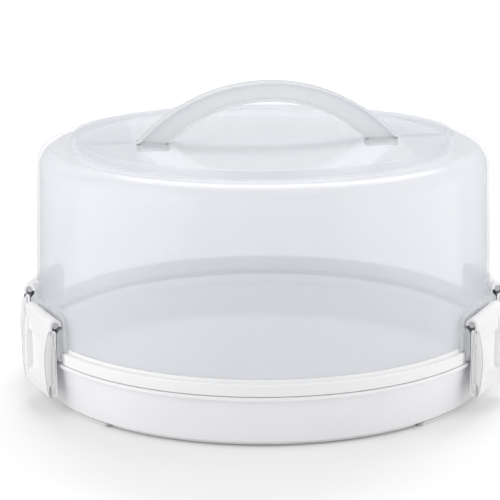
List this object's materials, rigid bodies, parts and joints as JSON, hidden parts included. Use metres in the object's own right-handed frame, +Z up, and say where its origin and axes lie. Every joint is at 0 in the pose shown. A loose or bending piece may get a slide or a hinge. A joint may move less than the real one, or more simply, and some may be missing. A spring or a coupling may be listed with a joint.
{
  "type": "cake carrier",
  "caption": "Round cake carrier: white tray, frosted dome lid with an arched carrying handle, held down by side clips that hinge on the lid and catch under the tray's lip.",
  "frame": {"origin": "on the table, under the tray's centre", "axes": "+Z up along the tray's axis, -Y to the front, +X to the right as seen from the front; the clips sit towards +X and -X"},
  "size_m": [0.3138, 0.295, 0.191],
  "materials": {
    "tray_white": "smooth satin white polypropylene",
    "pad_white": "soft matt white rubber",
    "lid_frost": "frosted translucent polypropylene, satin",
    "handle_white": "milky white polypropylene, satin",
    "clip_white": "smooth satin white polypropylene"
  },
  "bodies": {
    "base": {"base_tray": "tray_white", "foot_pad_front_left": "pad_white", "foot_pad_front_right": "pad_white", "foot_pad_back_left": "pad_white", "foot_pad_back_right": "pad_white"},
    "lid": {"lid_dome": "lid_frost", "handle": "handle_white"},
    "clip_front_left": {"clip_front_left": "clip_white"},
    "clip_front_right": {"clip_front_right": "clip_white"},
    "clip_back_left": {"clip_back_left": "clip_white"},
    "clip_back_right": {"clip_back_right": "clip_white"}
  },
  "joints": [
    {"name": "lid_lift", "type": "slide", "parent": "base", "child": "lid", "axis": [0, 0, 1], "range_m": [0, 0.15]},
    {"name": "clip_front_left_hinge", "type": "hinge", "parent": "lid", "child": "clip_front_left", "pos_m": [-0.13431, -0.06263, 0.0564], "axis": [-0.4226, 0.9063, 0], "range_deg": [0, 80]},
    {"name": "clip_front_right_hinge", "type": "hinge", "parent": "lid", "child": "clip_front_right", "pos_m": [0.13431, -0.06263, 0.0564], "axis": [-0.4226, -0.9063, 0], "range_deg": [0, 80]},
    {"name": "clip_back_left_hinge", "type": "hinge", "parent": "lid", "child": "clip_back_left", "pos_m": [-0.14638, 0.02318, 0.0564], "axis": [0.1564, 0.9877, 0], "range_deg": [0, 80]},
    {"name": "clip_back_right_hinge", "type": "hinge", "parent": "lid", "child": "clip_back_right", "pos_m": [0.14638, 0.02318, 0.0564], "axis": [0.1564, -0.9877, 0], "range_deg": [0, 80]}
  ]
}
